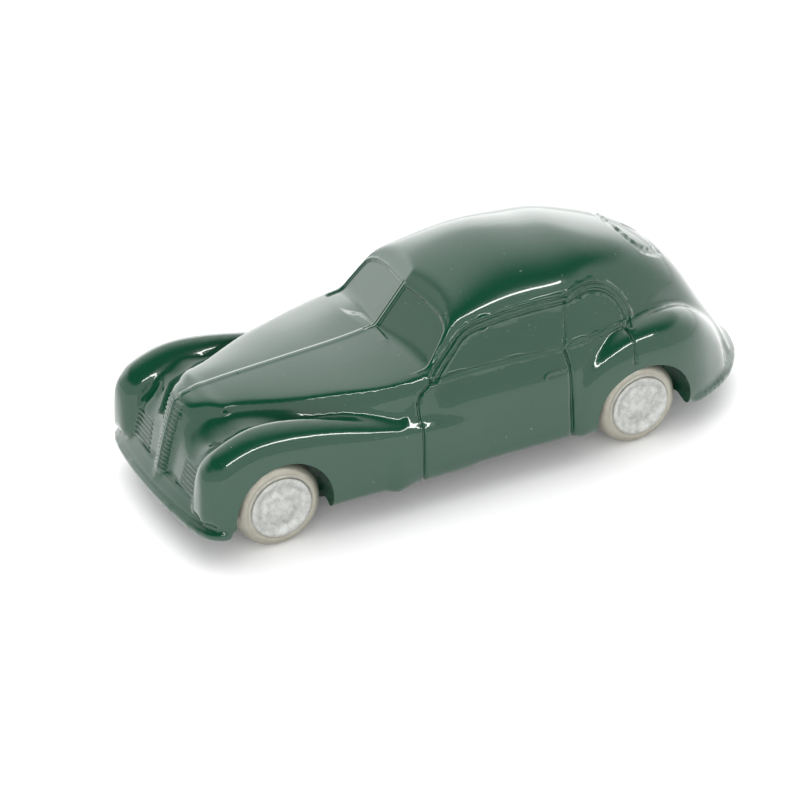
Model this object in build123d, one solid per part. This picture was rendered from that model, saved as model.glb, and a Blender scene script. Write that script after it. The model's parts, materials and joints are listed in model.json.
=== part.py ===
from build123d import *
import math
import os

# Pull back car in the 1:43 size class. The front faces -Y, the car's left side is +X and the
# ground is z = 0. Millimetres. The body is one die casting, closed below by a baseplate that
# carries the front axle, and the spring motor sits round the rear axle.

# ---- driving dimensions ----
FRONT_AXLE_Y = -41.7
WHEELBASE = 70.0
REAR_AXLE_Y = FRONT_AXLE_Y + WHEELBASE
MIDDLE_Y = FRONT_AXLE_Y + WHEELBASE / 2

WHEEL_R = 7.75
AXLE_Z = WHEEL_R
AXLE_R = 0.8
AXLE_RUNNING_GAP = 0.05
AXLE_HALF_LENGTH = 18.4
WHEEL_OUTER_X = 19.5
WHEEL_INNER_X = 14.6

SILL_Z = 6.2
WALL = 1.7
ARCH_R = 9.05
REAR_ARCH_HALF_LENGTH = 9.7
REAR_ARCH_HEIGHT = 8.5
WELL_INNER_X = 13.9
WELL_JACKET = 1.5

PLATE_T = 1.2
PLATE_Z = SILL_Z - PLATE_T
LUG_X = 9.6
LUG_T = 2.2

SCREW_R = 0.95
SCREW_HEAD_R = 1.8
SCREW_HOLE_GAP = 0.06
BASE_SCREWS = [(6.5, MIDDLE_Y - 41.0), (-6.5, MIDDLE_Y - 41.0), (0.0, MIDDLE_Y + 49.4)]

MODULE = 0.4
PINION_TEETH = 12
CLUTCH_TEETH = 16
TRANSFER_TEETH = 28
TRANSFER_PINION_TEETH = 10
SPRING_TEETH = 32
CENTRE_EXTRA = 0.05
BACKLASH = 0.12

MOTOR_HALF_WIDTH = 7.0
MOTOR_WALL = 1.0
DRUM_R = 6.3
DRUM_WALL = 1.05
SPRING_STRIP = 0.25
SPRING_TURNS = 5


def centre_distance(teeth_a, teeth_b):
    """Distance between two meshing gears, opened a little for running."""
    return MODULE * (teeth_a + teeth_b) / 2 + CENTRE_EXTRA


def step_from(centre, distance, degrees):
    """Point at a distance and an angle from a centre, in the side view (y, z)."""
    turn = math.radians(degrees)
    return centre[0] + distance * math.cos(turn), centre[1] + distance * math.sin(turn)


# Gear train in the side view: axle pinion, clutch gear, transfer gear, spring gear.
CLUTCH_ANGLE = 145.0
TRANSFER_ANGLE = 168.0
SPRING_ANGLE = 62.0
AXLE_AT = (REAR_AXLE_Y, AXLE_Z)
CLUTCH_AT = step_from(AXLE_AT, centre_distance(PINION_TEETH, CLUTCH_TEETH), CLUTCH_ANGLE)
TRANSFER_AT = step_from(CLUTCH_AT, centre_distance(CLUTCH_TEETH, TRANSFER_TEETH), TRANSFER_ANGLE)
SPRING_AT = step_from(
    TRANSFER_AT, centre_distance(TRANSFER_PINION_TEETH, SPRING_TEETH), SPRING_ANGLE
)

# Where each layer of the motor lies across the car.
FIRST_MESH_X = (3.4, 5.2)
SECOND_MESH_X = (1.2, 2.8)
SPRING_X = (-5.4, 0.0)
CAP_X = (0.3, 0.8)


# ---- body sections ----
# Each section lies in a plane y = foot + lean * (z - SILL_Z). Its points (x, z) run from the
# centre line over the shoulder to the sill, and y is counted from the middle of the wheelbase.
BODY = [
    (-49.6, 0.28, [(0, 21.3), (1.6, 21.2), (2.9, 20.8), (4.0, 19.6), (5.4, 16.6), (10.5, 13.6),
                   (13.6, 16.0), (16.6, 18.0), (19.0, 16.6), (20.2, 13.5), (20.4, 10.0), (20.0, 6.2)]),
    (-46.5, 0.26, [(0, 22.9), (2.4, 22.7), (4.0, 22.3), (5.2, 21.2), (6.8, 18.9), (11.0, 17.0),
                   (13.6, 18.4), (16.8, 20.8), (19.4, 19.2), (20.7, 15.5), (20.9, 11.0), (20.5, 6.2)]),
    (-36.0, 0.0, [(0, 23.6), (3.8, 23.4), (6.6, 22.9), (8.2, 22.0), (9.4, 20.9), (11.6, 20.0),
                  (14.0, 21.2), (16.8, 22.7), (19.4, 21.3), (20.7, 18.0), (21.0, 12.0), (20.7, 6.2)]),
    (-28.0, 0.0, [(0, 24.1), (5.6, 23.9), (10.0, 23.4), (11.9, 22.6), (12.8, 21.5), (13.8, 20.6),
                  (15.0, 21.0), (16.8, 21.6), (19.0, 20.4), (20.5, 17.4), (20.9, 12.0), (20.5, 6.2)]),
    (-20.0, 0.0, [(0, 24.6), (7.0, 24.4), (12.5, 23.9), (14.4, 23.2), (15.2, 22.0), (15.8, 20.0),
                  (16.4, 19.6), (17.4, 19.5), (19.0, 18.6), (20.3, 16.4), (20.7, 12.0), (20.3, 6.2)]),
    (-9.5, 0.0, [(0, 25.4), (8.5, 25.2), (15.0, 24.6), (17.0, 23.8), (17.9, 22.6), (18.4, 19.6),
                 (18.7, 17.8), (19.2, 17.1), (19.9, 16.3), (20.4, 14.8), (20.6, 12.0), (20.2, 6.2)]),
    (-4.6, 0.0, [(0, 29.2), (7.0, 29.0), (12.6, 28.4), (15.2, 27.0), (16.8, 25.0), (17.8, 23.2),
                 (18.5, 21.0), (19.1, 19.0), (19.7, 17.2), (20.2, 15.0), (20.4, 12.0), (20.1, 6.2)]),
    (-0.8, 0.0, [(0, 33.5), (6.5, 33.2), (11.5, 32.4), (14.0, 31.0), (15.6, 28.2), (16.7, 25.8),
                 (17.7, 23.4), (18.8, 20.8), (19.7, 18.4), (20.3, 15.4), (20.45, 12.0), (20.1, 6.2)]),
    (5.0, 0.0, [(0, 37.2), (6.5, 36.7), (11.3, 34.9), (14.0, 31.9), (15.6, 28.4), (16.7, 25.8),
                (17.8, 23.3), (18.9, 20.8), (19.8, 18.4), (20.3, 15.4), (20.5, 12.0), (20.1, 6.2)]),
    (13.0, 0.0, [(0, 39.3), (6.5, 38.7), (11.3, 36.4), (14.1, 32.3), (15.7, 28.4), (16.8, 25.9),
                 (17.9, 23.4), (19.0, 20.8), (19.8, 18.4), (20.3, 15.4), (20.5, 12.0), (20.1, 6.2)]),
    (21.5, 0.0, [(0, 39.0), (6.5, 38.3), (11.1, 36.1), (13.9, 32.1), (15.6, 28.3), (16.8, 25.8),
                 (17.8, 23.3), (18.9, 20.8), (19.8, 18.4), (20.3, 15.4), (20.5, 12.0), (20.2, 6.2)]),
    (27.0, 0.0, [(0, 38.3), (6.4, 37.6), (10.8, 35.3), (13.5, 31.4), (15.2, 27.8), (16.5, 24.6),
                 (17.4, 22.6), (18.4, 21.0), (19.7, 18.9), (20.8, 15.4), (21.0, 12.0), (20.6, 6.2)]),
    (34.0, 0.0, [(0, 36.6), (6.1, 35.9), (10.2, 33.6), (12.7, 30.1), (14.3, 26.8), (15.4, 24.0),
                 (16.4, 23.0), (17.4, 22.4), (19.2, 20.6), (20.6, 17.0), (21.0, 12.0), (20.7, 6.2)]),
    (41.0, 0.0, [(0, 33.9), (5.5, 33.2), (9.1, 31.1), (11.4, 28.0), (12.8, 25.2), (13.8, 23.6),
                 (14.8, 23.1), (16.2, 22.7), (18.4, 20.8), (20.1, 17.0), (20.7, 12.0), (20.4, 6.2)]),
    (47.0, 0.0, [(0, 29.6), (4.7, 29.0), (7.8, 27.2), (9.9, 24.7), (11.0, 22.8), (11.9, 21.9),
                 (13.0, 21.6), (14.4, 21.1), (16.6, 19.2), (18.4, 15.8), (19.3, 11.5), (19.2, 6.2)]),
    (52.0, 0.0, [(0, 23.7), (4.0, 23.2), (6.6, 22.0), (8.2, 20.3), (9.2, 19.0), (10.2, 18.2),
                 (11.3, 17.8), (12.7, 17.2), (14.6, 15.4), (16.1, 12.6), (16.8, 9.8), (16.8, 6.2)]),
    (61.2, -0.5, [(0, 15.6), (2.6, 15.4), (4.6, 14.9), (6.0, 14.2), (7.1, 13.6), (8.1, 13.0),
                  (9.1, 12.4), (10.1, 11.6), (11.3, 10.5), (12.2, 9.3), (12.8, 8.0), (13.0, 6.2)]),
]

# Plan outlines of the two bumper blades, one half, from the centre line outwards.
FRONT_BUMPER = [(0, -51.0), (11.4, -50.5), (18.4, -49.3), (20.9, -46.6), (21.0, -44.4)]
REAR_BUMPER = [(0, 64.4), (5.9, 62.9), (12.0, 59.0), (16.4, 54.2), (19.6, 47.4)]
FRONT_BUMPER_Z = (5.5, 8.4)
REAR_BUMPER_Z = (5.2, 9.4)
FRONT_BUMPER_BACK = (18.0, -46.2)
REAR_BUMPER_BACK = (13.6, 53.0)
BUMPER_EDGE = 0.7


def in_section(point, foot, lean):
    """Space point for a section's (x, z)."""
    x, z = point
    return Vector(x, MIDDLE_Y + foot + lean * (z - SILL_Z), z)


def body_face(foot, lean, half):
    """Closed section across the whole body, from a half outline."""
    left = [in_section(p, foot, lean) for p in reversed(half)]
    right = [in_section((-x, z), foot, lean) for x, z in half[1:]]
    over = Spline(*left, *right)
    return Face(Wire([over, Line(right[-1], left[0])]))


def cavity_face(foot, lean, half):
    """Section of the hollow: a vault that follows the inset outline, on two straight legs."""
    outline = inset(half, WALL)[:-1]
    left = [in_section(p, foot, lean) for p in reversed(outline)]
    right = [in_section((-x, z), foot, lean) for x, z in outline[1:]]
    low = PLATE_Z - 1.0
    corners = [in_section((x, low), foot, lean) for x in (left[0].X, right[-1].X)]
    over = Spline(*left, *right)
    legs = Polyline(right[-1], corners[1], corners[0], left[0])
    return Face(Wire([over, *legs.edges()]))


def inset(half, depth):
    """Half outline moved inwards by the wall thickness."""
    moved = []
    for i, (x, z) in enumerate(half):
        before = half[i - 1] if i else (-half[1][0], half[1][1])
        after = half[min(i + 1, len(half) - 1)]
        run = Vector(after[0] - before[0], after[1] - before[1]).normalized()
        moved.append((max(0.0, x + depth * run.Y), z - depth * run.X))
    return moved


def mirrored(shape):
    """A left-hand shape together with its right-hand copy."""
    return [shape, mirror(shape, about=Plane.YZ)]


def across(radius, centre, from_x, to_x):
    """Cylinder lying across the car."""
    disc = Plane.YZ.offset(from_x) * Pos(*centre) * Circle(radius)
    return extrude(disc, to_x - from_x)


def bumper(outline, z_range, back):
    """Blade with the given outer outline, filled back to a straight line between two corners."""
    half = [Vector(x, MIDDLE_Y + y, z_range[0]) for x, y in outline]
    other = [Vector(-p.X, p.Y, p.Z) for p in reversed(half[1:])]
    corners = [Vector(back[0], MIDDLE_Y + back[1], z_range[0])]
    corners.append(Vector(-corners[0].X, corners[0].Y, z_range[0]))
    front = Spline(*other, *half)
    rest = Polyline(half[-1], *corners, other[0])
    blade = extrude(Face(Wire([front, *rest.edges()])), z_range[1] - z_range[0], dir=(0, 0, 1))
    long_edges = [e for e in blade.edges() if e.geom_type == GeomType.BSPLINE]
    return fillet(long_edges, BUMPER_EDGE)


# ---- body casting ----
def outer_form():
    """Everything that the casting's outside is made of, before it is hollowed."""
    form = loft([body_face(*section) for section in BODY], ruled=True)
    form += bumper(FRONT_BUMPER, FRONT_BUMPER_Z, FRONT_BUMPER_BACK)
    form += bumper(REAR_BUMPER, REAR_BUMPER_Z, REAR_BUMPER_BACK)
    return form


def wheel_wells(reach_in, extra):
    """Spaces for the wheels, left and right, front and rear."""
    front = across(ARCH_R + extra, (FRONT_AXLE_Y, AXLE_Z), reach_in, 24.0)
    rear_arch = Plane.YZ.offset(reach_in) * Pos(REAR_AXLE_Y + 0.1, AXLE_Z) * Ellipse(
        REAR_ARCH_HALF_LENGTH + extra, REAR_ARCH_HEIGHT + extra
    )
    return mirrored(front) + mirrored(extrude(rear_arch, 24.0 - reach_in))


def body_casting():
    form = outer_form()
    cavity = loft([cavity_face(*section) for section in BODY[3:-2]], ruled=True)
    for jacket in wheel_wells(WELL_INNER_X - WELL_JACKET, WELL_JACKET):
        cavity -= jacket
    body = form - cavity
    for well in wheel_wells(WELL_INNER_X, 0.0):
        body -= well
    body -= Pos(0, FRONT_AXLE_Y, SILL_Z + 2.0) * Box(2 * LUG_X + LUG_T + 0.8, 5.8, 5.6)
    for axle_y in (FRONT_AXLE_Y, REAR_AXLE_Y):
        body -= Pos(0, axle_y, AXLE_Z - 2.0) * Box(2 * WHEEL_OUTER_X, 2.4, 6.4)
    for x, y in BASE_SCREWS:
        body -= Pos(x, y, SILL_Z - 1) * extrude(Circle(SCREW_R + SCREW_HOLE_GAP), 8.0)
    return body


# ---- chassis ----
def screw(x, y, length):
    """Countersunk screw with a slotted head, pointing up, head flush with the plate."""
    profile = Polyline(
        (0, 0), (SCREW_HEAD_R, 0), (SCREW_R, 0.9), (SCREW_R, length), (0, length), close=True
    )
    turned = revolve(Plane.XZ * make_face(profile), Axis.Z)
    slot = Pos(0, 0, 0.15) * Box(4.0, 0.4, 0.4)
    return Pos(x, y, PLATE_Z) * (turned - slot)


def screw_hole(x, y):
    """Countersunk clearance hole through the plate."""
    wide = SCREW_HEAD_R + SCREW_HOLE_GAP
    narrow = SCREW_R + SCREW_HOLE_GAP
    profile = Polyline(
        (0, -0.5), (wide, -0.5), (wide, 0), (narrow, 0.95), (narrow, 3.0), (0, 3.0), close=True
    )
    return Pos(x, y, PLATE_Z) * revolve(Plane.XZ * make_face(profile), Axis.Z)


MOTOR_SCREWS = [(0.0, TRANSFER_AT[0] - 10.2), (0.0, REAR_AXLE_Y + 6.6)]


def baseplate():
    """Flat plate with wheel notches, an opening for the motor and two lugs for the axle."""
    long_y = (MIDDLE_Y - 43.8, MIDDLE_Y + 52.0)
    half = [(9.0, long_y[0]), (11.8, long_y[0] + 2.0), (11.8, FRONT_AXLE_Y + 10.6)]
    half += [(16.2, FRONT_AXLE_Y + 11.6), (17.6, FRONT_AXLE_Y + 14.0), (17.6, REAR_AXLE_Y - 13.2)]
    half += [(11.8, REAR_AXLE_Y - 11.2), (11.8, REAR_AXLE_Y + 11.0), (8.0, long_y[1])]
    outline = half + [(-x, y) for x, y in reversed(half)]
    plate = Pos(0, 0, PLATE_Z) * extrude(make_face(Polyline(*outline, close=True)), PLATE_T)
    opening_y = (TRANSFER_AT[0] - 7.9, REAR_AXLE_Y + 4.7)
    plate -= Pos(0, sum(opening_y) / 2, PLATE_Z) * Box(
        2 * MOTOR_HALF_WIDTH + 0.6, opening_y[1] - opening_y[0], 6.0
    )
    for side in (-1, 1):
        lug = Pos(side * LUG_X, FRONT_AXLE_Y, SILL_Z + 2.1) * Box(LUG_T, 5.0, 4.4)
        plate += lug
    plate -= across(AXLE_R + AXLE_RUNNING_GAP, (FRONT_AXLE_Y, AXLE_Z), -14.0, 14.0)
    for x, y in BASE_SCREWS + MOTOR_SCREWS:
        plate -= screw_hole(x, y)
    return plate


# ---- wheels and axles ----
def axle(y):
    """Plain steel rod with slightly rounded ends."""
    rod = across(AXLE_R, (y, AXLE_Z), -AXLE_HALF_LENGTH, AXLE_HALF_LENGTH)
    return chamfer(rod.edges(), 0.15)


def wheel(axle_y, side):
    """One-piece cast wheel: tread, rounded shoulder, groove, raised ring, dish and dome."""
    x_out = WHEEL_OUTER_X
    x_in = WHEEL_INNER_X
    dome = Spline((0, x_out - 0.15), (1.8, x_out - 0.25), (3.3, x_out - 0.55))
    ring = Spline((3.3, x_out - 0.55), (4.2, x_out - 0.35), (4.9, x_out - 0.02), (5.5, x_out - 0.1))
    groove = Spline((5.5, x_out - 0.1), (5.85, x_out - 0.5), (6.3, x_out - 0.45))
    shoulder = Spline((6.3, x_out - 0.45), (7.0, x_out - 0.75), (7.5, x_out - 1.3))
    tread = Polyline((7.5, x_out - 1.3), (7.68, x_out - 1.8), (WHEEL_R, x_out - 2.5))
    back = Polyline(
        (WHEEL_R, x_out - 2.5), (WHEEL_R, x_in + 0.6), (WHEEL_R - 0.6, x_in), (5.6, x_in),
        (5.0, x_in + 1.2), (2.6, x_in + 1.2), (2.2, x_in), (AXLE_R, x_in),
        (AXLE_R, AXLE_HALF_LENGTH), (0, AXLE_HALF_LENGTH), (0, x_out - 0.15)
    )
    edges = [dome, ring, groove, shoulder, *tread.edges(), *back.edges()]
    flat = Plane.XY * make_face(edges)
    # The flat profile holds radius along X and width along Y: stand it up and spin it.
    turned = revolve(flat, Axis.Y)
    laid = Rot(0, 0, -90) * turned
    return Pos(0, axle_y, AXLE_Z) * (laid if side > 0 else mirror(laid, about=Plane.YZ))


# ---- gears ----
def involute(base_r, radius):
    """Polar angle of the involute at a radius, in radians."""
    if radius <= base_r:
        return 0.0
    pressure = math.acos(base_r / radius)
    return math.tan(pressure) - pressure


def gear_outline(teeth, centre, first_tooth):
    """Gear face in the side view, with a tooth centred on the angle first_tooth (degrees)."""
    pitch_r = MODULE * teeth / 2
    base_r = pitch_r * math.cos(math.radians(20))
    tip_r = pitch_r + 0.78 * MODULE
    root_r = pitch_r - 1.1 * MODULE
    half_tooth = (math.pi * MODULE / 2 - BACKLASH) / 2 / pitch_r
    flank = [root_r, max(base_r, root_r + 0.08), pitch_r, (pitch_r + tip_r) / 2, tip_r]
    points = []
    for tooth in range(teeth):
        middle = math.radians(first_tooth + 360 / teeth * tooth)
        side = [
            (r, half_tooth + involute(base_r, pitch_r) - involute(base_r, r)) for r in flank
        ]
        ring = [(r, middle - a) for r, a in side] + [(r, middle + a) for r, a in reversed(side)]
        points += [
            (centre[0] + r * math.cos(a), centre[1] + r * math.sin(a)) for r, a in ring
        ]
    return make_face(Polyline(*points, close=True))


def gear(teeth, centre, x_range, first_tooth, bore_r):
    """Toothed disc across the given x range, with a bore if bore_r is over 0."""
    disc = extrude(
        Plane.YZ.offset(x_range[0]) * gear_outline(teeth, centre, first_tooth),
        x_range[1] - x_range[0],
    )
    if bore_r:
        disc -= across(bore_r, centre, x_range[0] - 1, x_range[1] + 1)
    return disc


def meshing_tooth(teeth_a, tooth_a, teeth_b, direction):
    """Tooth angle of gear b that puts its gap where gear a's tooth comes, in degrees."""
    phase = (direction - tooth_a) * teeth_a / 360
    return direction + 180 - (0.5 - phase) * 360 / teeth_b


PINION_TOOTH = CLUTCH_ANGLE
CLUTCH_TOOTH = meshing_tooth(PINION_TEETH, PINION_TOOTH, CLUTCH_TEETH, CLUTCH_ANGLE)
TRANSFER_TOOTH = meshing_tooth(CLUTCH_TEETH, CLUTCH_TOOTH, TRANSFER_TEETH, TRANSFER_ANGLE)
SPRING_TOOTH = meshing_tooth(
    TRANSFER_PINION_TEETH, TRANSFER_TOOTH, SPRING_TEETH, SPRING_ANGLE
)
STUB_R = 0.8
CLUTCH_PIN_R = 0.6
ARBOR_R = 1.2


def transfer_gear():
    """Moulded double gear with its own stub shafts."""
    wheel_part = gear(TRANSFER_TEETH, TRANSFER_AT, FIRST_MESH_X, TRANSFER_TOOTH, 0)
    small = gear(
        TRANSFER_PINION_TEETH, TRANSFER_AT, (SECOND_MESH_X[0] - 0.3, FIRST_MESH_X[0]),
        TRANSFER_TOOTH, 0,
    )
    shaft = across(STUB_R, TRANSFER_AT, -MOTOR_HALF_WIDTH + 0.1, MOTOR_HALF_WIDTH - 0.1)
    return wheel_part + small + shaft


def mainspring():
    """Flat strip wound in an open spiral inside the drum."""
    inner = ARBOR_R
    outer = DRUM_R - 0.5
    steps = 24 * SPRING_TURNS
    line = []
    for i in range(steps + 1):
        share = i / steps
        turn = 360 * SPRING_TURNS * share
        line.append(step_from(SPRING_AT, inner + (outer - inner) * share, turn))
    back = []
    for i in range(steps, -1, -1):
        share = i / steps
        turn = 360 * SPRING_TURNS * share
        back.append(
            step_from(SPRING_AT, inner + SPRING_STRIP + (outer - inner) * share, turn)
        )
    rim = [Spline(*line), Line(line[-1], back[0]), Spline(*back), Line(back[-1], line[0])]
    strip = extrude(
        Plane.YZ.offset(SPRING_X[0]) * make_face(rim), SPRING_X[1] - SPRING_X[0]
    )
    return strip - across(ARBOR_R, SPRING_AT, SPRING_X[0] - 1, SPRING_X[1] + 1)


# ---- motor case ----
COVER_X = (MOTOR_HALF_WIDTH - MOTOR_WALL, MOTOR_HALF_WIDTH)
COVER_SCREWS = [
    step_from(SPRING_AT, 8.4, 150), step_from(SPRING_AT, 8.4, 20), step_from(AXLE_AT, 7.9, 98.7)
]
COVER_SCREW_R = 0.45
POST_R = 1.4
POST_IN_WALL = 0.5


def case_face(margin):
    """Side outline drawn tight round the gears and the screw posts."""
    rings = [(AXLE_AT, 3.0), (CLUTCH_AT, 3.8), (TRANSFER_AT, 6.2), (SPRING_AT, 7.0)]
    rings += [(centre, POST_R - POST_IN_WALL) for centre in COVER_SCREWS]
    edges = []
    for centre, radius in rings:
        edges += (Pos(*centre) * Circle(radius + margin)).edges()
    return make_hull(edges)


def shaft_holes():
    """Everything that passes through the case's side walls."""
    reach = MOTOR_HALF_WIDTH + 1
    holes = [across(AXLE_R + AXLE_RUNNING_GAP, AXLE_AT, -reach, reach)]
    holes.append(across(STUB_R + AXLE_RUNNING_GAP, TRANSFER_AT, -reach, reach))
    holes.append(across(ARBOR_R + AXLE_RUNNING_GAP, SPRING_AT, -reach, reach))
    holes.append(across(CLUTCH_PIN_R + 0.01, CLUTCH_AT, -reach, reach))
    for centre in COVER_SCREWS:
        holes.append(across(COVER_SCREW_R + 0.03, centre, 1.0, reach))
    return holes


def motor_housing():
    """Open tray with the spring drum and screw posts inside and two feet outside."""
    back_x = -MOTOR_HALF_WIDTH
    depth = COVER_X[0] - back_x
    tray = extrude(Plane.YZ.offset(back_x) * case_face(MOTOR_WALL), depth)
    tray -= extrude(Plane.YZ.offset(back_x + MOTOR_WALL) * case_face(0.0), depth)
    drum = across(DRUM_R + DRUM_WALL, SPRING_AT, back_x, CAP_X[0])
    drum -= across(DRUM_R, SPRING_AT, back_x + MOTOR_WALL, CAP_X[0] + 1)
    tray += drum
    for centre in COVER_SCREWS:
        tray += across(POST_R, centre, back_x, COVER_X[0])
    for (x, y), toward_case in zip(MOTOR_SCREWS, (2.0, -1.0)):
        foot = Pos(x, y + toward_case, SILL_Z + 0.9) * Box(7.0, 2 * abs(toward_case) + 4.0, 1.8)
        foot -= extrude(Plane.YZ.offset(back_x) * case_face(0.5), 2 * MOTOR_HALF_WIDTH)
        foot -= Pos(x, y, SILL_Z - 1) * extrude(Circle(SCREW_R + SCREW_HOLE_GAP), 5.0)
        tray += foot
    for hole in shaft_holes():
        tray -= hole
    return tray


def motor_cover():
    """Flat side plate that closes the tray."""
    plate = extrude(Plane.YZ.offset(COVER_X[0]) * case_face(MOTOR_WALL), MOTOR_WALL)
    for hole in shaft_holes():
        plate -= hole
    return plate


def spring_cap():
    """Thin disc that keeps the spring in its drum."""
    disc = across(DRUM_R + 0.5, SPRING_AT, *CAP_X)
    return disc - across(ARBOR_R + 0.3, SPRING_AT, CAP_X[0] - 1, CAP_X[1] + 1)


def cover_screw(centre):
    """Tiny pan-head screw driven in from the cover's side."""
    shank = across(COVER_SCREW_R, centre, 1.6, COVER_X[1])
    head = across(0.85, centre, COVER_X[1], COVER_X[1] + 0.5)
    return shank + head


# ---- pieces ----
PIECES = {
    "body_casting": body_casting(),
    "baseplate": baseplate(),
    "base_screws": Compound([screw(x, y, 6.5) for x, y in BASE_SCREWS]),
    "front_axle": axle(FRONT_AXLE_Y),
    "front_wheel_left": wheel(FRONT_AXLE_Y, 1),
    "front_wheel_right": wheel(FRONT_AXLE_Y, -1),
    "rear_axle": axle(REAR_AXLE_Y),
    "rear_wheel_left": wheel(REAR_AXLE_Y, 1),
    "rear_wheel_right": wheel(REAR_AXLE_Y, -1),
    "axle_pinion": gear(PINION_TEETH, AXLE_AT, FIRST_MESH_X, PINION_TOOTH, AXLE_R),
    "clutch_gear": gear(
        CLUTCH_TEETH, CLUTCH_AT, FIRST_MESH_X, CLUTCH_TOOTH, CLUTCH_PIN_R + AXLE_RUNNING_GAP
    ),
    "clutch_pin": across(CLUTCH_PIN_R, CLUTCH_AT, -MOTOR_HALF_WIDTH, MOTOR_HALF_WIDTH),
    "transfer_gear": transfer_gear(),
    "spring_gear": gear(SPRING_TEETH, SPRING_AT, SECOND_MESH_X, SPRING_TOOTH, ARBOR_R),
    "spring_arbor": across(
        ARBOR_R, SPRING_AT, -MOTOR_HALF_WIDTH + 0.1, MOTOR_HALF_WIDTH - 0.1
    ),
    "mainspring": mainspring(),
    "spring_cap": spring_cap(),
    "motor_housing": motor_housing(),
    "motor_cover": motor_cover(),
    "cover_screws": Compound([cover_screw(centre) for centre in COVER_SCREWS]),
    "motor_screws": Compound([screw(x, y, 2.8) for x, y in MOTOR_SCREWS]),
}

os.makedirs("parts", exist_ok=True)
for node, shape in PIECES.items():
    export_step(shape, f"parts/{node}.step")
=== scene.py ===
import json
import math

import bmesh
import bpy
import numpy as np
from mathutils import Matrix, Vector
from mathutils.bvhtree import BVHTree
from mathutils.kdtree import KDTree


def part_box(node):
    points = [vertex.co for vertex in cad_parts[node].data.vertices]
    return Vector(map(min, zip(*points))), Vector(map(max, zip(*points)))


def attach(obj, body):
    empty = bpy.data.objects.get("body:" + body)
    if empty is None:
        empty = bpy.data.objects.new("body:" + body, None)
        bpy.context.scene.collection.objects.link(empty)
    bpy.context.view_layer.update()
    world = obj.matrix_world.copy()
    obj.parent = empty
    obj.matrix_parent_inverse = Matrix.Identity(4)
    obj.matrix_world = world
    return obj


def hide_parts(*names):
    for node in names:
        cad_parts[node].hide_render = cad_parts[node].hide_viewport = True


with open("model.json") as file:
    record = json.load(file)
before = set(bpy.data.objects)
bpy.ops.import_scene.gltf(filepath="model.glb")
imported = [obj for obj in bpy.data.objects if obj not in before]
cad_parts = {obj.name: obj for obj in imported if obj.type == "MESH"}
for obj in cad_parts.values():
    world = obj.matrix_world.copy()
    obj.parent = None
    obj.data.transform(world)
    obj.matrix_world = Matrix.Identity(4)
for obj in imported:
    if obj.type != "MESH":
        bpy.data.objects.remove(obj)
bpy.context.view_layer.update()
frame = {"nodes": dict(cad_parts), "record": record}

# The body is shaped in millimetres and made metres at the end. Lengths along the car are
# counted from the middle of the wheelbase, with the front towards -Y and the left towards +X.
MM = 0.001
PER_METRE = 1000.0


def middle_of(node):
    low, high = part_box(node)
    return (low + high) / 2


FRONT_AXLE = middle_of("front_axle")
REAR_AXLE = middle_of("rear_axle")
MIDDLE_Y = (FRONT_AXLE.y + REAR_AXLE.y) / 2 / MM
HALF_BASE = (REAR_AXLE.y - FRONT_AXLE.y) / 2 / MM
AXLE_Z = FRONT_AXLE.z / MM
WHEEL_OUTER_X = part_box("front_wheel_left")[1].x / MM
SILL_Z = 6.2


# ---- camera, light and floor ----
LENS = 142.18
CAMERA_AZIMUTH, CAMERA_HEIGHT, CAMERA_ROLL = 62.731, 30.239, -0.786     # degrees
CAMERA_AWAY = 0.554509                                                  # metres
AIM_Y, AIM_Z = MIDDLE_Y - 2.567, 9.636


def add_camera():
    """Looks down on the car's front and left side."""
    data = bpy.data.cameras.new("camera")
    data.lens = LENS
    data.sensor_width = 36.0
    camera = bpy.data.objects.new("camera", data)
    bpy.context.scene.collection.objects.link(camera)
    azimuth, height, roll = (
        math.radians(angle) for angle in (CAMERA_AZIMUTH, CAMERA_HEIGHT, CAMERA_ROLL)
    )
    back = Vector((
        math.sin(azimuth) * math.cos(height),
        -math.cos(azimuth) * math.cos(height),
        math.sin(height),
    ))
    side = Vector((0, 0, 1)).cross(back).normalized()
    up = back.cross(side)
    turned_side = side * math.cos(roll) + up * math.sin(roll)
    turned_up = up * math.cos(roll) - side * math.sin(roll)
    aim = Vector((0.0, AIM_Y, AIM_Z)) * MM
    turn = Matrix((turned_side, turned_up, back)).transposed().to_4x4()
    camera.matrix_world = Matrix.Translation(aim + back * CAMERA_AWAY) @ turn
    bpy.context.scene.camera = camera


def add_area(name, place, aim, size, power):
    """A soft rectangular light that faces its aim."""
    data = bpy.data.lights.new(name, "AREA")
    data.shape = "RECTANGLE"
    data.size, data.size_y = size
    data.energy = power
    lamp = bpy.data.objects.new(name, data)
    bpy.context.scene.collection.objects.link(lamp)
    lamp.location = place
    lamp.rotation_euler = (Vector(place) - Vector(aim)).to_track_quat("Z", "Y").to_euler()
    return lamp


# Each glow: the two cosines to its direction between which it changes, then the two strengths.
HORIZON_BAND = (0.36, 0.54, 1.0, 0.04)
BACKDROP_WAY = (-0.75, 0.36, 0.55)
BACKDROP_GLOW = (0.22, 1.0, 0.0, 1.45)
LIT_POINT = (0, 0, 0.015)
FLOOR_SIZE = 6.0


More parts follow.
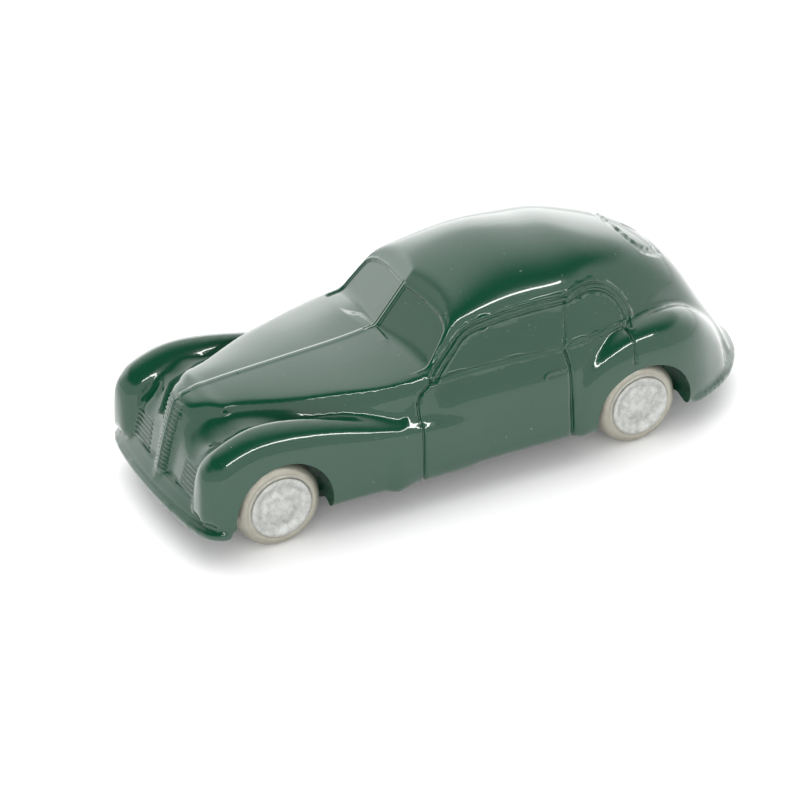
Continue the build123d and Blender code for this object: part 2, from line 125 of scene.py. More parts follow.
def add_studio():
    """White floor, a bright band around the horizon, a bright backdrop and a dark overhead."""
    scene = bpy.context.scene
    scene.view_settings.view_transform = "Standard"
    world = bpy.data.worlds.new("studio")
    scene.world = world
    world.use_nodes = True
    nodes, links = world.node_tree.nodes, world.node_tree.links
    way = nodes.new("ShaderNodeTexCoord").outputs["Generated"]

    def glow(towards, limits):
        """Brightness that rises as the view turns towards a direction."""
        dot = nodes.new("ShaderNodeVectorMath")
        dot.operation = "DOT_PRODUCT"
        dot.inputs[1].default_value = towards
        links.new(way, dot.inputs[0])
        rise = nodes.new("ShaderNodeMapRange")
        rise.interpolation_type = "SMOOTHSTEP"
        for key, value in zip(("From Min", "From Max", "To Min", "To Max"), limits):
            rise.inputs[key].default_value = value
        links.new(dot.outputs["Value"], rise.inputs["Value"])
        return rise.outputs["Result"]

    both = nodes.new("ShaderNodeMath")
    both.operation = "ADD"
    links.new(glow((0, 0, 1), HORIZON_BAND), both.inputs[0])
    links.new(glow(BACKDROP_WAY, BACKDROP_GLOW), both.inputs[1])
    links.new(both.outputs[0], nodes["Background"].inputs["Strength"])
    nodes["Background"].inputs["Color"].default_value = (1, 1, 1, 1)
    soft = add_area("soft_top", (0.15, -0.1, 1.3), LIT_POINT, (2.2, 2.2), 21.0)
    soft.visible_glossy = False
    fill = add_area("side_fill", (0.80, -0.45, 0.35), LIT_POINT, (0.9, 0.6), 6.0)
    fill.visible_glossy = False
    strip = add_area("strip_light", (0.515, 0.12, 0.386), LIT_POINT, (0.7, 0.032), 1.7)
    strip.visible_diffuse = False
    bpy.ops.mesh.primitive_plane_add(size=FLOOR_SIZE)
    floor = bpy.context.object
    floor.name = "floor"
    return floor


# ---- shader maths ----
class Tree:
    """A material's nodes, with one method that adds any of them."""

    def __init__(self, name):
        self.material = bpy.data.materials.new(name)
        self.material.use_nodes = True
        self.nodes = self.material.node_tree.nodes
        self.links = self.material.node_tree.links
        self.surface = self.nodes["Principled BSDF"]
        self.place = Wire(self, self.nodes.new("ShaderNodeTexCoord").outputs["Object"])

    def node(self, kind, settings=None, sockets=None, out=0):
        """Adds a node and returns one of its outputs."""
        made = self.nodes.new(kind)
        for key, value in (settings or {}).items():
            if key == "stops":
                ramp = made.color_ramp
                while len(ramp.elements) < len(value):
                    ramp.elements.new(0.5)
                for element, (at, shade) in zip(ramp.elements, value):
                    element.position = at
                    element.color = (*shade, 1) if len(shade) == 3 else shade
            else:
                setattr(made, key, value)
        for key, value in (sockets or {}).items():
            self.put(made.inputs[key], value)
        return Wire(self, made.outputs[out])

    def put(self, socket, value):
        """Links a wire to a socket, or sets a constant on it."""
        if isinstance(value, Wire):
            self.links.new(value.socket, socket)
        else:
            socket.default_value = value

    def set(self, **sockets):
        for key, value in sockets.items():
            self.put(self.surface.inputs[key.replace("_", " ")], value)

    def noise(self, scale, detail=2.0, roughness=0.5, place=None):
        return self.node(
            "ShaderNodeTexNoise", {},
            {"Vector": place or self.place, "Scale": scale, "Detail": detail, "Roughness": roughness},
        )

    def ramp(self, value, stops):
        return self.node("ShaderNodeValToRGB", {"stops": stops}, {"Fac": value})

    def mix(self, share, a, b):
        return self.node(
            "ShaderNodeMix", {"data_type": "RGBA"}, {"Factor": share, 6: a, 7: b}, out=2
        )

    def bump(self, height, strength, distance):
        return self.node(
            "ShaderNodeBump", {}, {"Height": height, "Strength": strength, "Distance": distance}
        )


class Wire:
    """One socket's value, which adds Math nodes when it is reckoned with."""

    def __init__(self, tree, socket):
        self.tree = tree
        self.socket = socket

    def reckon(self, operation, *values):
        sockets = dict(enumerate(values))
        return self.tree.node("ShaderNodeMath", {"operation": operation}, sockets)

    def __add__(self, other):
        return self.reckon("ADD", self, other)

    def __sub__(self, other):
        return self.reckon("SUBTRACT", self, other)

    def __mul__(self, other):
        return self.reckon("MULTIPLY", self, other)

    def __rsub__(self, other):
        return self.reckon("SUBTRACT", other, self)

    __radd__ = __add__
    __rmul__ = __mul__


def green_paint():
    """Thick dark green gloss with a few light dust specks and a slight ripple."""
    tree = Tree("green_gloss_paint")
    clouds = tree.noise(60.0, 3.0)
    deep = tree.mix(clouds, (0.0015, 0.040, 0.019, 1), (0.0022, 0.046, 0.023, 1))
    specks = tree.noise(2600.0, 0.0)
    dust = tree.ramp(specks, [(0.0, (0, 0, 0)), (0.855, (0, 0, 0)), (0.885, (1, 1, 1))])
    shade = tree.mix(dust * 0.35, deep, (0.35, 0.42, 0.38, 1))
    peel = tree.noise(900.0, 2.0)
    wave = tree.noise(140.0, 1.0)
    tree.set(
        Base_Color=shade,
        Roughness=0.22,
        Specular_IOR_Level=0.3,
        Coat_Weight=1.0,
        Coat_Roughness=0.03,
        IOR=1.5,
        Normal=tree.bump(peel * 0.25 + wave, 0.10, 0.0004),
    )
    return tree.material


def wheel_zinc():
    """Bare cast wheel: whiter, finely pitted hub inside a warmer, duller tread."""
    tree = Tree("bare_cast_zinc")
    parts = tree.nodes.new("ShaderNodeSeparateXYZ")
    tree.links.new(tree.place.socket, parts.inputs[0])
    y, z = Wire(tree, parts.outputs[1]), Wire(tree, parts.outputs[2])
    up = (z - FRONT_AXLE.z) * PER_METRE
    fore = (y - FRONT_AXLE.y) * PER_METRE
    aft = (y - REAR_AXLE.y) * PER_METRE
    reach = up.reckon("MINIMUM", fore * fore, aft * aft)
    radius = up.reckon("SQRT", up * up + reach)
    coarse = tree.noise(420.0, 5.0, 0.65)
    fine = tree.noise(950.0, 5.0, 0.62)
    rim = tree.ramp(radius * 0.1, [(0.52, (0, 0, 0)), (0.60, (1, 1, 1))])
    tread = tree.mix(coarse, (0.30, 0.29, 0.24, 1), (0.47, 0.455, 0.39, 1))
    pits = tree.ramp(fine, [(0.36, (0, 0, 0)), (0.62, (1, 1, 1))])
    hub = tree.mix(pits, (0.38, 0.385, 0.37, 1), (0.55, 0.56, 0.54, 1))
    tree.set(
        Base_Color=tree.mix(rim, hub, tread),
        Metallic=0.75,
        Roughness=fine * 0.35 + 0.32,
        Normal=tree.bump(coarse * 0.6 + fine, 0.55, 0.00018),
    )
    return tree.material


def plain_metal(name, shade, roughness, grain):
    """Bare metal with faint darker spots."""
    tree = Tree(name)
    spots = tree.noise(grain, 4.0, 0.6)
    tree.set(
        Base_Color=tree.mix(spots, (*[c * 0.8 for c in shade], 1), (*shade, 1)),
        Metallic=1.0,
        Roughness=spots * 0.25 + (roughness - 0.1),
        Normal=tree.bump(spots, 0.2, 0.0001),
    )
    return tree.material


def moulded_plastic(name, shade, roughness):
    """Fine-grained plastic or satin paint with faint clouds."""
    tree = Tree(name)
    grain = tree.noise(2200.0, 2.0)
    clouds = tree.noise(90.0, 2.0)
    tree.set(
        Base_Color=tree.mix(clouds, (*[c * 0.86 for c in shade], 1), (*shade, 1)),
        Roughness=grain * 0.15 + roughness,
        Normal=tree.bump(grain, 0.25, 0.0001),
    )
    return tree.material


def floor_paper():
    tree = Tree("white_paper")
    tree.set(Base_Color=(0.93, 0.93, 0.93, 1), Roughness=0.6)
    return tree.material


# ---- body forms: rings of the body's volumes, half outlines (x, z) from the top to the sill ----
HOOD = [
    (-48.4, 0.25, [(0, 19.0), (1.5, 18.9), (2.4, 18.4), (3.2, 17.3), (4.2, 16.0), (6.0, 14.9),
                   (9.0, 14.2), (12.2, 13.2), (12.8, 6.4)]),
    (-47.6, 0.25, [(0, 21.2), (2.0, 21.0), (3.4, 20.6), (4.1, 19.6), (4.8, 18.2), (6.2, 16.8),
                   (9.2, 16.0), (12.4, 15.0), (13.0, 6.2)]),
    (-45.0, 0.20, [(0, 23.0), (2.9, 22.95), (4.8, 22.7), (5.5, 21.9), (6.0, 20.6), (7.4, 19.1),
                   (10.8, 18.2), (13.2, 16.5), (13.8, 6.2)]),
    (-40.5, 0.05, [(0, 23.3), (3.6, 23.2), (6.3, 22.9), (7.0, 22.2), (7.4, 21.0), (8.8, 19.9),
                   (11.7, 19.1), (13.9, 17.2), (14.4, 6.2)]),
    (-36.0, 0.0, [(0, 23.6), (4.2, 23.5), (7.5, 23.0), (8.4, 22.3), (8.9, 21.2), (10.2, 20.4),
                  (12.6, 19.9), (14.6, 17.5), (15.0, 6.2)]),
    (-28.0, 0.0, [(0, 24.1), (6.2, 23.9), (11.1, 23.4), (12.1, 22.7), (12.6, 21.7), (13.3, 20.4),
                  (15.0, 17.5), (16.0, 12.0), (16.0, 6.2)]),
    (-20.0, 0.0, [(0, 24.6), (7.6, 24.4), (13.8, 23.8), (14.8, 23.1), (15.3, 22.0), (15.9, 20.2),
                  (17.2, 15.5), (18.0, 12.0), (18.0, 6.2)]),
    (-10.0, 0.0, [(0, 25.4), (9.0, 25.2), (16.2, 24.3), (17.3, 23.6), (17.9, 22.5), (18.5, 20.0),
                  (19.2, 16.0), (19.3, 12.0), (19.3, 6.2)]),
    (0.0, 0.0, [(0, 25.6), (8.0, 25.4), (13.0, 24.8), (14.6, 24.0), (15.4, 22.6), (15.8, 20.0),
                (16.2, 16.0), (16.3, 12.0), (16.3, 6.2)]),
]

CABIN = [
    (-16.0, [(0, 27.0), (6.0, 26.6), (11.0, 25.4), (13.2, 24.0), (14.4, 22.6), (15.4, 21.0),
             (16.4, 19.0), (17.4, 16.5), (18.1, 14.0), (18.6, 11.0), (18.4, 6.4)]),
    (-10.0, [(0, 29.4), (6.4, 29.1), (11.2, 28.4), (14.0, 27.0), (15.8, 25.2), (17.3, 23.2),
             (18.2, 20.8), (19.0, 18.2), (19.7, 15.0), (20.1, 11.0), (19.9, 6.2)]),
    (-4.4, [(0, 32.4), (6.5, 32.2), (11.6, 31.5), (14.6, 29.9), (15.9, 27.2), (17.6, 23.4),
            (18.7, 20.9), (19.6, 18.3), (20.2, 15.0), (20.4, 11.0), (20.1, 6.2)]),
    (0.2, [(0, 34.8), (6.5, 34.4), (11.7, 33.5), (14.7, 31.6), (15.9, 28.3), (17.8, 23.3),
           (18.9, 20.8), (19.8, 18.2), (20.3, 15.0), (20.5, 11.0), (20.1, 6.2)]),
    (5.0, [(0, 37.2), (6.5, 36.6), (11.5, 35.0), (14.5, 32.2), (15.8, 28.5), (17.8, 23.3),
           (18.9, 20.8), (19.8, 18.2), (20.3, 15.0), (20.5, 11.0), (20.1, 6.2)]),
    (13.0, [(0, 39.3), (6.5, 38.5), (11.3, 36.1), (14.4, 32.5), (15.8, 28.5), (17.9, 23.4),
            (18.9, 20.8), (19.8, 18.2), (20.3, 15.0), (20.5, 11.0), (20.1, 6.2)]),
    (21.5, [(0, 39.0), (6.5, 38.1), (11.1, 35.8), (14.2, 32.3), (15.7, 28.4), (17.8, 23.3),
            (18.9, 20.8), (19.8, 18.2), (20.3, 15.0), (20.5, 11.0), (20.1, 6.2)]),
    (27.5, [(0, 38.2), (6.4, 37.5), (10.8, 35.2), (13.5, 31.3), (15.1, 27.8), (17.1, 23.2),
            (18.0, 20.6), (18.7, 18.0), (19.2, 15.0), (19.4, 11.0), (19.2, 6.2)]),
    (34.0, [(0, 36.5), (6.1, 35.8), (10.2, 33.5), (12.7, 30.0), (14.2, 26.8), (15.7, 23.0),
            (16.4, 20.4), (17.0, 18.0), (17.4, 15.0), (17.6, 11.0), (17.4, 6.2)]),
    (41.0, [(0, 33.8), (5.5, 33.1), (9.1, 31.0), (11.4, 27.9), (12.8, 25.0), (14.0, 21.6),
            (14.6, 19.4), (15.1, 17.0), (15.5, 14.4), (15.7, 11.0), (15.6, 6.2)]),
    (47.0, [(0, 29.6), (4.7, 29.0), (7.8, 27.2), (9.9, 24.7), (11.1, 22.0), (12.1, 19.0),
            (12.6, 17.2), (13.0, 15.4), (13.3, 13.2), (13.6, 10.5), (13.6, 6.2)]),
    (52.0, [(0, 23.8), (3.9, 23.3), (6.5, 22.0), (8.4, 20.0), (9.6, 17.8), (10.5, 15.6),
            (10.9, 14.4), (11.3, 13.0), (11.6, 11.4), (12.0, 9.4), (12.1, 6.2)]),
    (57.0, [(0, 16.2), (3.2, 15.8), (5.4, 14.9), (7.0, 13.7), (8.1, 12.5), (8.9, 11.4),
            (9.4, 10.7), (9.8, 9.9), (10.1, 9.0), (10.5, 8.0), (10.6, 6.2)]),
    (60.6, [(0, 10.4), (2.6, 10.2), (4.4, 9.8), (5.8, 9.2), (6.8, 8.6), (7.5, 8.1),
            (7.9, 7.8), (8.2, 7.4), (8.5, 7.0), (8.8, 6.6), (8.8, 6.2)]),
]

# The nose is a prow: half plan outlines (x, y) from its ridge backwards, at heights z.
NOSE = [
    (7.0, [(0, -49.5), (1.0, -49.3), (1.9, -48.7), (2.3, -47.6), (2.4, -44.0), (2.4, -40.0)]),
    (9.0, [(0, -49.0), (1.2, -48.8), (2.3, -48.1), (3.0, -46.9), (3.2, -44.0), (3.2, -40.0)]),
    (13.0, [(0, -47.9), (1.5, -47.7), (3.0, -46.8), (4.6, -45.2), (5.2, -43.0), (5.4, -39.0)]),
    (17.0, [(0, -46.7), (1.7, -46.5), (3.2, -45.8), (5.0, -44.2), (6.0, -42.0), (6.8, -38.0)]),
    (20.0, [(0, -45.7), (1.8, -45.5), (3.2, -45.0), (4.6, -44.0), (5.6, -42.0), (6.8, -38.0)]),
    (21.6, [(0, -44.9), (1.8, -44.7), (3.0, -44.4), (4.2, -43.6), (5.2, -42.0), (6.4, -38.0)]),
    (22.6, [(0, -43.6), (1.6, -43.4), (2.8, -43.1), (3.8, -42.4), (4.6, -41.2), (5.6, -38.0)]),
]

# The wings' rings run from the inner foot over the crest to the outer foot.
FRONT_WING = [
    (-49.4, 0.05, [(15.0, 9.0), (15.1, 11.4), (15.6, 13.8), (16.4, 15.2), (17.1, 15.5),
                   (17.7, 15.1), (18.1, 13.6), (18.2, 11.4), (18.0, 9.0)]),
    (-48.9, 0.06, [(13.8, 8.6), (13.9, 12.0), (14.6, 15.6), (15.9, 17.3), (17.1, 17.6),
                   (18.3, 16.9), (18.9, 14.7), (19.0, 11.4), (18.8, 8.6)]),
    (-47.7, 0.06, [(12.8, 8.2), (12.9, 12.0), (13.7, 16.8), (15.5, 18.8), (17.2, 19.1),
                   (18.9, 18.0), (19.9, 15.2), (20.2, 11.4), (19.9, 8.2)]),
    (-45.5, 0.0, [(12.6, 7.0), (12.6, 13.0), (13.4, 17.6), (15.4, 19.9), (17.3, 20.3),
                  (19.2, 19.1), (20.5, 16.0), (20.8, 11.5), (20.4, 7.0)]),
    (-41.5, 0.0, [(12.6, 6.2), (12.4, 14.0), (13.2, 19.0), (15.2, 21.5), (17.0, 22.0),
                  (19.0, 21.0), (20.5, 18.0), (21.0, 12.0), (20.7, 6.2)]),
    (-36.0, 0.0, [(13.0, 6.2), (12.6, 14.0), (13.2, 19.4), (15.1, 22.2), (16.9, 22.7),
                  (19.0, 21.6), (20.6, 18.4), (21.0, 12.0), (20.7, 6.2)]),
    (-28.0, 0.0, [(14.0, 6.2), (13.6, 13.0), (13.9, 18.2), (15.3, 21.0), (16.9, 21.6),
                  (18.9, 20.6), (20.4, 17.8), (20.9, 12.0), (20.5, 6.2)]),
    (-20.0, 0.0, [(15.0, 6.2), (14.8, 12.0), (15.0, 16.2), (16.0, 18.9), (17.3, 19.6),
                  (19.0, 18.8), (20.3, 16.6), (20.7, 12.0), (20.3, 6.2)]),
    (-12.0, 0.0, [(16.0, 6.2), (16.0, 11.0), (16.3, 14.6), (17.2, 17.1), (18.4, 17.7),
                  (19.9, 17.0), (20.7, 15.5), (20.8, 11.5), (20.3, 6.2)]),
    (-4.0, 0.0, [(17.0, 6.2), (17.0, 10.0), (17.4, 13.2), (18.4, 15.5), (19.5, 16.1),
                 (20.4, 15.5), (20.7, 14.2), (20.5, 11.0), (20.0, 6.2)]),
    (2.0, 0.0, [(17.0, 6.2), (17.0, 9.0), (17.4, 12.0), (18.2, 14.0), (19.0, 14.6),
                (19.7, 14.2), (19.9, 13.2), (19.8, 10.0), (19.6, 6.2)]),
]
REAR_WING = [
    (21.6, 0.0, [(15.0, 6.2), (15.2, 9.0), (15.8, 11.5), (17.2, 13.2), (18.6, 13.8), (19.8, 13.2),
                 (20.3, 11.8), (20.4, 9.5), (20.2, 6.2)]),
    (24.3, 0.0, [(15.0, 6.2), (15.0, 11.0), (15.4, 15.0), (16.9, 17.4), (18.3, 18.0),
                 (19.9, 17.2), (20.8, 15.0), (21.0, 11.0), (20.7, 6.2)]),
    (28.5, 0.0, [(14.5, 6.2), (14.4, 13.0), (14.7, 17.8), (16.1, 20.4), (17.5, 21.0),
                 (19.4, 20.1), (20.7, 17.0), (21.0, 12.0), (20.7, 6.2)]),
    (34.0, 0.0, [(13.5, 6.2), (13.3, 14.0), (13.6, 19.0), (15.1, 22.0), (16.6, 22.7),
                 (18.8, 21.6), (20.5, 18.0), (21.0, 12.0), (20.7, 6.2)]),
    (41.0, 0.0, [(12.0, 6.2), (11.8, 14.0), (12.1, 19.6), (13.6, 22.4), (15.3, 23.0),
                 (17.8, 21.8), (19.9, 18.0), (20.7, 12.0), (20.5, 6.2)]),
    (47.0, 0.0, [(10.0, 6.2), (9.8, 13.0), (10.2, 18.4), (11.6, 20.9), (13.4, 21.5), (16.0, 20.3),
                 (18.2, 16.8), (19.3, 11.5), (19.3, 6.2)]),
    (52.0, 0.0, [(8.0, 6.2), (7.8, 11.0), (8.2, 15.3), (9.5, 17.4), (11.2, 17.9), (13.6, 16.8),
                 (15.6, 14.0), (16.7, 10.0), (16.9, 6.2)]),
    (56.5, 0.0, [(6.0, 6.2), (5.9, 9.0), (6.2, 11.4), (7.2, 12.6), (8.6, 12.9), (10.4, 12.2),
                 (12.1, 10.6), (13.0, 8.6), (13.3, 6.2)]),
]


SCREEN_FOOT_Y, SCREEN_FOOT_Z = -7.6, 25.6
SCREEN_LEAN = 0.85
SCREEN_SWEEP = 0.15


def screen_y(x, z):
    """Where the windscreen's two flat panes lie, leaning back and swept back to their corners."""
    return SCREEN_FOOT_Y + (z - SCREEN_FOOT_Z) * SCREEN_LEAN + SCREEN_SWEEP * np.abs(x)


def leaning(stations):
    """Rings of space points from (foot, lean, outline) stations."""
    return [
        [(x, foot + lean * (z - SILL_Z), z) for x, z in outline] for foot, lean, outline in stations
    ]


def closed_over(half):
    """Whole ring from a half ring: down the left, across below, up the right."""
    low = half[-1]
    floor = [(low[0] * 0.55, low[1], low[2]), (-low[0] * 0.55, low[1], low[2])]
    return half + floor + [(-x, y, z) for x, y, z in reversed(half[1:])]


def closed_wing(outline):
    """Whole ring of a wing, closed across below."""
    first, last = outline[0], outline[-1]
    between = [tuple(last[i] + (first[i] - last[i]) * t for i in range(3)) for t in (0.33, 0.67)]
    return outline + between


def form(name, rings, levels=3):
    """A closed volume whose smooth skin passes through the given rings."""
    mesh = bpy.data.meshes.new(name)
    obj = bpy.data.objects.new(name, mesh)
    bpy.context.scene.collection.objects.link(obj)
    bm = bmesh.new()
    loops = [[bm.verts.new(p) for p in ring] for ring in rings]
    count = len(rings[0])
    for one, two in zip(loops, loops[1:]):
        for i in range(count):
            j = (i + 1) % count
            bm.faces.new((one[i], one[j], two[j], two[i]))
    bm.faces.new(list(reversed(loops[0])))
    bm.faces.new(loops[-1])
    bmesh.ops.recalc_face_normals(bm, faces=bm.faces)
    bm.to_mesh(mesh)
    bm.free()
    smooth = obj.modifiers.new("Subdivision", "SUBSURF")
    smooth.levels = smooth.render_levels = levels
    wanted = coordinates(mesh)
    total = len(mesh.vertices)
    for _ in range(5):
        bpy.context.view_layer.update()
        shown = obj.evaluated_get(bpy.context.evaluated_depsgraph_get())
        reached = coordinates(shown.data)[:total]
        set_coordinates(mesh, coordinates(mesh) + (wanted - reached) * 0.9)
    only(obj)
    bpy.ops.object.modifier_apply(modifier="Subdivision")
    return obj


def coordinates(mesh):
    flat = np.empty(len(mesh.vertices) * 3)
    mesh.vertices.foreach_get("co", flat)
    return flat.reshape(-1, 3)


def set_coordinates(mesh, places):
    mesh.vertices.foreach_set("co", np.asarray(places, float).ravel())
    mesh.update()


def only(obj):
    """Makes one object the only selected one."""
    bpy.ops.object.select_all(action="DESELECT")
    obj.select_set(True)
    bpy.context.view_layer.objects.active = obj


# ---- bumpers ----
FRONT_BUMPER = [(0, -51.0), (6, -50.85), (11.4, -50.45), (15.6, -49.9), (18.6, -49.0), (20.4, -47.4),
                (21.0, -45.2)]
REAR_BUMPER = [(0, 64.3), (4.4, 63.4), (8.4, 61.6), (12.0, 59.0), (15.4, 55.6), (18.0, 51.4),
               (19.7, 46.9)]


def blade(name, outline, way, depth):
    """A bumper: a bar with a rounded face, swept along its plan outline."""
    face = [(-0.2, -0.8), (0.1, -0.45), (0.18, 0.1), (-0.1, 0.6), (-0.9, 1.0), (-1.6, 2.0),
            (-depth, 2.9), (-depth, -0.9), (-0.9, -1.0)]
    whole = [(-x, y) for x, y in reversed(outline[1:])] + list(outline)
    rings = []
    for i, (x, y) in enumerate(whole):
        ahead = Vector(whole[min(i + 1, len(whole) - 1)])
        behind = Vector(whole[max(i - 1, 0)])
        run = (ahead - behind).normalized()
        out = Vector((-run.y, run.x)) * way
        rings.append([(x + out.x * d, y + out.y * d, SILL_Z + h) for d, h in face])
    return form(name, rings, 2)


# ---- joining the forms into one casting ----
FAR = 50.0


class Gauge:
    """Tells how far points are from a closed volume's skin, and which way is out."""

    def __init__(self, obj):
        mesh = obj.data
        self.tree = BVHTree.FromObject(obj, bpy.context.evaluated_depsgraph_get())
        self.low = coordinates(mesh).min(axis=0) - 3.0
        self.high = coordinates(mesh).max(axis=0) + 3.0
        self.out = [
            sum((mesh.vertices[v].normal for v in face.vertices), Vector()).normalized()
            for face in mesh.polygons
        ]

    def read(self, places):
        gaps = np.full(len(places), FAR)
        ways = np.zeros((len(places), 3))
        near = np.all((places > self.low) & (places < self.high), axis=1).nonzero()[0]
        find = self.tree.find_nearest
        for i in near:
            point = Vector(places[i])
            spot, _, face, gap = find(point)
            out = self.out[face]
            away = point - spot
            side = 1.0 if away.dot(out) >= 0 else -1.0
            gaps[i] = side * gap
            ways[i] = away * (side / gap) if gap > 0.02 else out
        return gaps, ways


def soft_union(one, two, width):
    """Joins two (gap, way) readings, with a fillet of about that width where they meet."""
    share = np.clip(0.5 + 0.5 * (two[0] - one[0]) / width, 0, 1)
    gap = two[0] * (1 - share) + one[0] * share - width * share * (1 - share)
    way = two[1] * (1 - share)[:, None] + one[1] * share[:, None]
    return gap, way


def soft_cut(one, two, width):
    """Keeps what lies inside both readings, with an edge rounded over about that width."""
    gap, way = soft_union((-one[0], -one[1]), (-two[0], -two[1]), width)
    return -gap, -way


def ahead_of_screen(places):
    """Gap in front of the windscreen's surface, and the way out of it."""
    x, y, z = places.T
    size = math.hypot(1.0, SCREEN_LEAN, SCREEN_SWEEP)
    ones = np.ones(len(x))
    way = np.stack([SCREEN_SWEEP * np.sign(x), -ones, SCREEN_LEAN * ones], axis=1)
    gap = screen_y(x, z) - y
    return gap / size, way / size


# How widely the forms are rounded into each other.
SCREEN_EDGE = 0.35
NOSE_FILLET = 0.5
WING_FILLET = 1.3
CABIN_FILLET = 0.6
BUMPER_FILLET = 0.5


def read_casting(gauges, places):
    """Gap to the casting's outside before its raised and sunk lines, and the way out."""
    readings = [gauge.read(places) for gauge in gauges]
    hood, nose, cabin, front_wing, rear_wing, front_blade, rear_blade = readings
    whole = soft_union(hood, nose, NOSE_FILLET)
    whole = soft_union(whole, soft_cut(cabin, ahead_of_screen(places), SCREEN_EDGE), CABIN_FILLET)
    whole = soft_union(whole, front_wing, WING_FILLET)
    whole = soft_union(whole, rear_wing, WING_FILLET)
    whole = soft_union(whole, front_blade, BUMPER_FILLET)
    return soft_union(whole, rear_blade, BUMPER_FILLET)


def settle(obj, gauges, rounds):
    """Moves every point of the mesh onto the casting's surface."""
    mesh = obj.data
    for _ in range(rounds):
        places = coordinates(mesh)
        gap, way = read_casting(gauges, places)
        size = np.maximum(np.linalg.norm(way, axis=1), 0.5)
        step = np.clip(gap / size, -0.6, 0.6) / size
        moved = places - way * step[:, None]
        moved[np.abs(places[:, 0]) < 1e-4, 0] = 0.0
        set_coordinates(mesh, moved)


def point_normals(mesh):
    flat = np.empty(len(mesh.vertices) * 3)
    mesh.vertices.foreach_get("normal", flat)
    return flat.reshape(-1, 3)


def draw_lines(obj):
    """Raises and sinks the drawn lines, and gives each point its shading direction."""
    mesh = obj.data
    places = coordinates(mesh)
    out = point_normals(mesh)
    middle = np.abs(places[:, 0]) < 1e-4
    out[middle, 0] = 0.0
    out /= np.linalg.norm(out, axis=1)[:, None]
    slope = np.zeros_like(places)
    fine = near_lines(places)
    small = 0.04
    for axis in range(3):
        shift = np.zeros(3)
        shift[axis] = small
        rise = raised(places[fine] + shift) - raised(places[fine] - shift)
        slope[fine, axis] = rise / (2 * small)
    slope -= out * np.sum(slope * out, axis=1)[:, None]
    shading = out - slope
    shading[middle, 0] = 0.0
    shading /= np.linalg.norm(shading, axis=1)[:, None]
    set_coordinates(mesh, places + out * np.where(fine, raised(places), 0.0)[:, None])
    return coordinates(mesh), shading


def set_shading(obj, places, shading):
    """Gives faces on the casting's outside the shading directions found before it was cut."""
    mesh = obj.data
    finder = KDTree(len(places))
    for i, place in enumerate(places):
        finder.insert(place, i)
    finder.balance()
    known = np.full(len(mesh.vertices), -1)
    for vertex in mesh.vertices:
        _, index, gap = finder.find((abs(vertex.co.x), vertex.co.y, vertex.co.z))
        if gap < 0.002:
            known[vertex.index] = index
    mirror = np.where(coordinates(mesh)[:, 0] < 0, -1.0, 1.0)
    corners = np.empty(len(mesh.loops), int)
    mesh.loops.foreach_get("vertex_index", corners)
    faces = np.empty(len(mesh.polygons) * 3)
    mesh.polygons.foreach_get("normal", faces)
    totals = np.empty(len(mesh.polygons), int)
    mesh.polygons.foreach_get("loop_total", totals)
    flat = np.repeat(faces.reshape(-1, 3), totals, axis=0)
    wanted = shading[np.maximum(known[corners], 0)]
    wanted[:, 0] *= mirror[corners]
    fits = (known[corners] >= 0) & (np.sum(wanted * flat, axis=1) > 0.3)
    inner = point_normals(mesh)[corners]
    rest = np.where((np.sum(inner * flat, axis=1) > 0.8)[:, None], inner, flat)
    normals = np.where(fits[:, None], wanted, rest)
    mesh.normals_split_custom_set(normals.tolist())


# ---- raised and sunk lines ----
def smooth_line(points, each=6):
    """Dense points of a smooth line through the given ones."""
    p = np.array([points[0], *points, points[-1]], float)
    t = np.linspace(0, 1, each, endpoint=False)[:, None]
    runs = []
    for i in range(1, len(p) - 2):
        a, b, c, d = p[i - 1:i + 3]
        runs.append(0.5 * (2 * b + (c - a) * t + (2 * a - 5 * b + 4 * c - d) * t ** 2
                           + (3 * b - a - 3 * c + d) * t ** 3))
    return np.vstack([*runs, p[-1:]])


def off_line(flat, line):
    """Distance of flat points from a line of points."""
    best = np.full(len(flat), FAR)
    low, high = line.min(axis=0) - 3, line.max(axis=0) + 3
    near = np.all((flat > low) & (flat < high), axis=1)
    some = flat[near]
    least = np.full(len(some), FAR)
    for a, b in zip(line, line[1:]):
        run = b - a
        along = np.clip((some - a) @ run / max(run @ run, 1e-9), 0, 1)
        least = np.minimum(least, np.linalg.norm(some - a - along[:, None] * run, axis=1))
    best[near] = least
    return best


def inside(flat, line):
    """Whether flat points lie inside a closed line."""
    hit = np.zeros(len(flat), bool)
    x, y = flat[:, 0], flat[:, 1]
    for (ax, ay), (bx, by) in zip(line, np.roll(line, -1, axis=0)):
        if abs(by - ay) < 1e-9:
            continue
        hit ^= ((ay > y) != (by > y)) & (x < (bx - ax) * (y - ay) / (by - ay) + ax)
    return hit


def in_edge(flat, line):
    """Distance into a closed line, negative outside it."""
    closed = np.vstack([line, line[:1]])
    return np.where(inside(flat, line), 1.0, -1.0) * off_line(flat, closed)


def step_up(value, start, end):
    """Smooth rise from 0 to 1 between the start and the end."""
    t = np.clip((value - start) / (end - start), 0, 1)
    return t * t * (3 - 2 * t)


def groove(gap, width, depth):
    """Sunk line, by the distance from its middle."""
    return -depth * np.exp(-((gap / width) ** 2))


def bead(gap, half_width, height):
    """Raised line with a flat top, by the distance from its middle."""
    return height * (1 - step_up(gap, half_width, half_width + 0.3))


